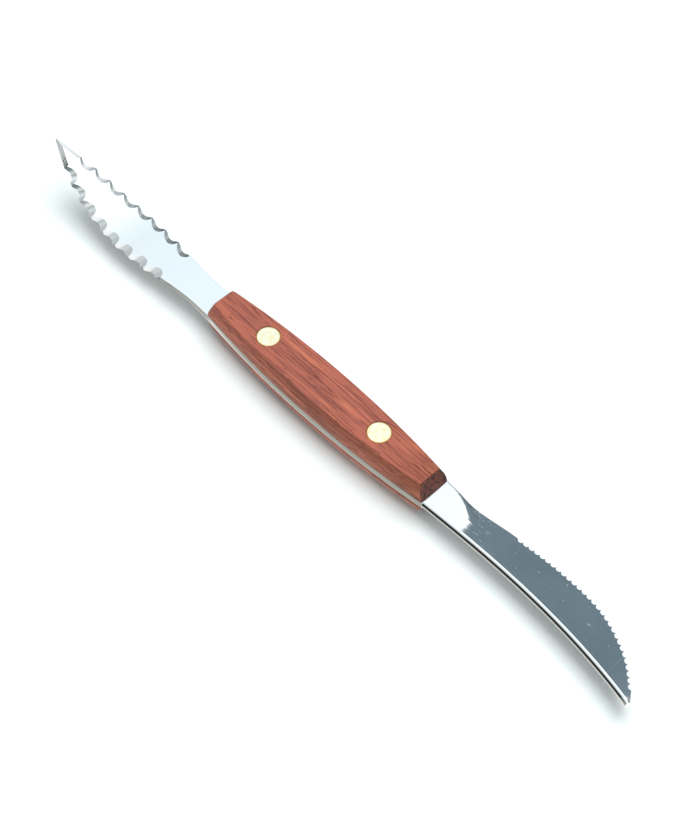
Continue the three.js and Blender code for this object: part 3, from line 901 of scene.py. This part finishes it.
def grain(nodes, fine, pores):
    """The colours along the grain: broad clouds, bands, fine lines and pores."""
    broad = nodes.noise((20, 240, 240), distortion=0.8, turn=GRAIN_LEAN)
    band = nodes.noise((45, 1000, 1000), detail=5, distortion=0.8, turn=GRAIN_LEAN)
    base = nodes.mix(nodes.spread(broad, 0.35, 0.65), *WOOD)
    warm = nodes.mix(nodes.spread(band, 0.52, 0.70), base, WARM_BAND)
    cool = nodes.mix(nodes.spread(band, 0.44, 0.30), warm, COOL_BAND)
    lined = nodes.mix(nodes.spread(fine, 0.49, 0.62, 0, 0.7), cool, FINE_LINE)
    return nodes.mix(nodes.spread(pores, 0.62, 0.70, 0, 0.8), lined, PORE)


def with_side_light(nodes, colour, normal):
    """Paints light and shade on the upper scale's sides, lighter at the land and darker up to the crease,
    and darkens both scales towards their near ends.
    """
    place = nodes.axes("Object")
    # Painted light on the land and painted shade below the crease, the shade at full strength from the
    # middle to the near end
    crease_shade = nodes.mix(nodes.between(place["X"], CREASE_SHADE_SPAN), PLAIN_TONE, PAINTED_CREASE_SHADE)
    side_light = nodes.mix(nodes.between(place["Z"], LAND_TO_CREASE), PAINTED_LAND_LIGHT, crease_shade)
    side = nodes.all(nodes.spread(normal["Z"], 0.75, 0.55), nodes.between(place["Z"], UPPER_SIDE))
    sides = nodes.mix(side, colour, side_light, "MULTIPLY")
    return nodes.mix(nodes.between(place["X"], NEAR_END), sides, NEAR_TONE, "MULTIPLY")


def wood_material():
    material, nodes, surface = new_material("handle_wood")
    fine = nodes.noise((110, 2600, 2600), detail=6, distortion=0.4, turn=GRAIN_LEAN)
    pores = nodes.noise((260, 3000, 3000), detail=2, turn=GRAIN_LEAN)
    blotch = nodes.noise((1300, 1300, 1300), detail=4)
    normal = nodes.axes("Normal")
    along_grain = with_side_light(nodes, grain(nodes, fine, pores), normal)
    across_grain = nodes.mix(nodes.spread(blotch, 0.40, 0.62), *END_GRAIN)
    at_end = nodes.spread(nodes.math("ABSOLUTE", normal["X"]), 0.5, 0.85)
    nodes.feed(surface["Base Color"], nodes.mix(at_end, along_grain, across_grain))
    nodes.feed(surface["Roughness"], nodes.spread(fine, 0.3, 0.7, *WOOD_ROUGHNESS))
    surface["Specular IOR Level"].default_value = WOOD_SPECULAR
    relief = nodes.math("SUBTRACT", fine, nodes.spread(pores, 0.58, 0.7))
    nodes.feed(surface["Normal"], nodes.bump(relief, GRAIN_HEIGHT))
    return material


# Brass, polished on the flat of a head and duller round its rim
BRASS = (rgb(1.0, 0.92, 0.72), rgb(0.97, 0.84, 0.48))
BRASS_RIM = rgb(0.62, 0.36, 0.06)
BRASS_METALLIC = (0.2, 1)  # of the rim and of the flat
BRASS_ROUGHNESS = (0.5, 0.12)
MOTTLE_HEIGHT = 0.002


def brass_material():
    material, nodes, surface = new_material("rivet_brass")
    mottle = nodes.noise((900, 900, 900), detail=4)
    face = nodes.mix(nodes.spread(mottle, 0.42, 0.68), *BRASS)
    flat = nodes.spread(nodes.math("ABSOLUTE", nodes.axes("Normal")["Z"]), 0.975, 0.995)
    nodes.feed(surface["Base Color"], nodes.mix(flat, BRASS_RIM, face))
    nodes.feed(surface["Metallic"], nodes.spread(flat, 0, 1, *BRASS_METALLIC))
    nodes.feed(surface["Roughness"], nodes.spread(flat, 0, 1, *BRASS_ROUGHNESS))
    nodes.feed(surface["Normal"], nodes.bump(mottle, MOTTLE_HEIGHT))
    return material


FLOOR_COLOUR = rgb(0.752, 0.797, 0.798)


def floor_material():
    material, _, surface = new_material("floor")
    surface["Base Color"].default_value = FLOOR_COLOUR
    surface["Roughness"].default_value = 1.0
    surface["Specular IOR Level"].default_value = 0.0
    return material


# The pieces

def add(piece, material, node):
    piece.data.materials.clear()
    piece.data.materials.append(material)
    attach(piece, "root")
    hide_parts(node)


steel = steel_material()
wood = wood_material()
brass = brass_material()
add(blade_piece(), steel, "double_ended_blade")
add(scale_piece("fine_upper_scale", 1), wood, "upper_scale")
add(scale_piece("fine_lower_scale", -1), wood, "lower_scale")
for end, x in RIVET_PLACES.items():
    add(socket_piece(f"fine_{end}_rivet_socket", x), brass, f"{end}_rivet_socket")
    add(pin_piece(f"fine_{end}_rivet_pin", x), brass, f"{end}_rivet_pin")

# Camera, at the photograph's viewing angle, with its places in metres

CAMERA_PLACE = Vector((0.16797, -0.15190, 0.33781))
CAMERA_TARGET = Vector((0.00628, 0.002965, 0))
CAMERA_LENS = 71.35
CAMERA_SENSOR = 36


def place_facing(name, data, place, target):
    """An object at a place, facing a target along its own -Z."""
    thing = bpy.data.objects.new(name, data)
    thing.location = place
    thing.rotation_mode = "QUATERNION"
    thing.rotation_quaternion = (target - place).to_track_quat("-Z", "Y")
    scene.collection.objects.link(thing)
    return thing


camera_data = bpy.data.cameras.new("camera")
camera_data.lens = CAMERA_LENS
camera_data.sensor_width = CAMERA_SENSOR
scene.camera = place_facing("camera", camera_data, CAMERA_PLACE, CAMERA_TARGET)

# White table under a soft box, sized in metres, that leaves its shadow on the camera's side

FLOOR_RADIUS = 480
SOFTBOX_SIZE = 0.62
SOFTBOX_DISTANCE = 0.9
SOFTBOX_HEIGHT_ANGLE = math.radians(75)
SOFTBOX_POWER = 6.3

turns = np.linspace(0, 2 * math.pi, TURN_STEPS, endpoint=False)
circle = [[FLOOR_RADIUS * math.cos(turn), FLOOR_RADIUS * math.sin(turn), 0] for turn in turns]
floor = new_object("floor", circle, [tuple(range(TURN_STEPS))])
floor.data.materials.append(floor_material())
floor.visible_glossy = False

softbox_data = bpy.data.lights.new("softbox", "AREA")
softbox_data.size = SOFTBOX_SIZE
softbox_data.energy = SOFTBOX_POWER
softbox_heading = Vector((0, math.cos(SOFTBOX_HEIGHT_ANGLE), math.sin(SOFTBOX_HEIGHT_ANGLE)))
softbox = place_facing("softbox", softbox_data, softbox_heading * SOFTBOX_DISTANCE, Vector((0, 0, 0)))
softbox.visible_glossy = False

# What the steel mirrors, by the angle round the knife's length in degrees: 0 is the horizon behind the
# toothed edge, 90 is overhead and 180 is the horizon on the camera's side
BLACK = rgb(0.02, 0.02, 0.02)
DIM_TABLE = rgb(0.31, 0.31, 0.272)
PALE_TABLE = rgb(0.85, 0.85, 0.82)
PALE_WALL = rgb(0.84, 0.86, 0.87)
WHITE = rgb(1.0, 1.0, 1.0)
PALE_SCREEN = rgb(0.71, 0.71, 0.69)
STUDIO = [
    (-180, BLACK),
    (-129, BLACK),
    (-120, DIM_TABLE),
    (-109, DIM_TABLE),
    (-102, PALE_TABLE),
    (-70, PALE_TABLE),
    (-45, rgb(0.07, 0.08, 0.085)),
    (-20, rgb(0.21, 0.25, 0.26)),
    (-6, rgb(0.23, 0.27, 0.28)),
    (6, rgb(0.58, 0.61, 0.62)),
    (14, PALE_WALL),
    (26, PALE_WALL),
    (35, rgb(0.16, 0.205, 0.235)),
    (50, rgb(0.134, 0.177, 0.202)),
    (58.5, rgb(0.129, 0.176, 0.202)),
    (61.5, WHITE),
    (104, WHITE),
    (118, PALE_SCREEN),
    (145, PALE_SCREEN),
    (154, BLACK),
]
STUDIO_STRENGTH = 1.4
FAR_END_TINT = rgb(0.70, 0.79, 0.83)
FAR_SHADE = rgb(0.27, 0.31, 0.33)
FAR_WALL = rgb(0.42, 0.44, 0.45)
CAMERA_SIDE_WALL = rgb(0.8, 0.82, 0.83)
GAP_FAR = rgb(0.19, 0.21, 0.21)
GAP_NEAR = rgb(0.40, 0.42, 0.42)
LOW_FILL = rgb(1.2, 1.2, 1.12)
HIGH_FILL = rgb(0.03, 0.03, 0.03)


def studio_ramp(nodes, heading):
    """The studio's colours round the knife's length."""
    angle = nodes.math("ARCTAN2", heading["Z"], heading["Y"])
    turn = nodes.add("MapRange")
    for name, value in (("Value", angle), ("From Min", -math.pi), ("From Max", math.pi)):
        nodes.feed(turn.inputs[name], value)
    ramp = nodes.add("ValToRGB")
    stops = ramp.color_ramp.elements
    given = len(stops)
    for index, (degrees, colour) in enumerate(STUDIO):
        place = (degrees + 180) / 360
        stop = stops[index] if index < given else stops.new(place)
        stop.position = place
        stop.color = colour
    nodes.feed(ramp.inputs["Fac"], turn.outputs["Result"])
    return ramp.outputs["Color"]


def with_far_end(nodes, heading, colour):
    """Tints the studio over the far end, shades it behind the toothed edge and ends it with a grey wall."""
    overhead = nodes.all(nodes.spread(heading["Y"], 0.5, 0.42), nodes.spread(heading["Z"], 0.0, 0.3))
    over_far_end = nodes.all(nodes.spread(heading["X"], -0.05, -0.5), overhead)
    tinted = nodes.mix(over_far_end, colour, FAR_END_TINT, "MULTIPLY")
    behind = nodes.spread(heading["Y"], 0.2, 0.45)
    low = nodes.spread(heading["Z"], 0.35, 0.2)
    past_bend = nodes.spread(heading["X"], -0.25, -0.45)
    shaded = nodes.mix(nodes.all(past_bend, behind, low), tinted, FAR_SHADE, "MULTIPLY")
    # The wall leaves out what is low behind the toothed edge
    below_horizon = nodes.spread(heading["Z"], 0.1, -0.15)
    kept = nodes.math("SUBTRACT", 1.0, nodes.all(behind, below_horizon))
    past_far_end = nodes.all(nodes.spread(heading["X"], -0.5, -0.75), kept)
    return nodes.mix(past_far_end, shaded, FAR_WALL)


def with_camera_side(nodes, heading, camera_side, colour):
    """Adds a pale wall on the camera's side and, above it, a dark gap that is paler at the near end."""
    wall_width = nodes.spread(heading["X"], -0.14, 0.02)
    wall_height = nodes.all(nodes.spread(heading["Z"], -0.7, -0.5), nodes.spread(heading["Z"], 0.68, 0.6))
    walled = nodes.mix(nodes.all(wall_width, wall_height, camera_side), colour, CAMERA_SIDE_WALL)
    gap = nodes.mix(nodes.spread(heading["X"], 0.0, 0.14), GAP_FAR, GAP_NEAR)
    gap_width = nodes.all(nodes.spread(heading["X"], -0.34, -0.14), nodes.spread(heading["Y"], -0.3, -0.45))
    over_wall = nodes.all(gap_width, nodes.spread(heading["Z"], 0.64, 0.70))
    return nodes.mix(over_wall, walled, gap)


def studio_world():
    """The studio as the knife sees it, and plain white as the camera does."""
    world = bpy.data.worlds.new("studio")
    world.use_nodes = True
    nodes = Nodes(world.node_tree)
    heading = nodes.axes("Generated")
    camera_side = nodes.spread(heading["Y"], -0.3, -0.5)
    far = with_far_end(nodes, heading, studio_ramp(nodes, heading))
    mirrored = with_camera_side(nodes, heading, camera_side, far)
    # Matt surfaces get the camera side's light from low down
    path = nodes.add("LightPath").outputs
    fill = nodes.mix(nodes.spread(heading["Z"], 0.3, 0.5), LOW_FILL, HIGH_FILL)
    matt = nodes.all(path["Is Diffuse Ray"], camera_side)
    around = world.node_tree.nodes["Background"]
    nodes.feed(around.inputs["Color"], nodes.mix(matt, mirrored, fill))
    around.inputs["Strength"].default_value = STUDIO_STRENGTH
    seen = nodes.add("Background")
    seen.inputs["Color"].default_value = WHITE
    choice = nodes.add("MixShader")
    nodes.feed(choice.inputs["Fac"], path["Is Camera Ray"])
    nodes.feed(choice.inputs[1], around.outputs["Background"])
    nodes.feed(choice.inputs[2], seen.outputs["Background"])
    nodes.feed(world.node_tree.nodes["World Output"].inputs["Surface"], choice.outputs["Shader"])
    return world


scene.world = studio_world()
scene.view_settings.view_transform = "Standard"
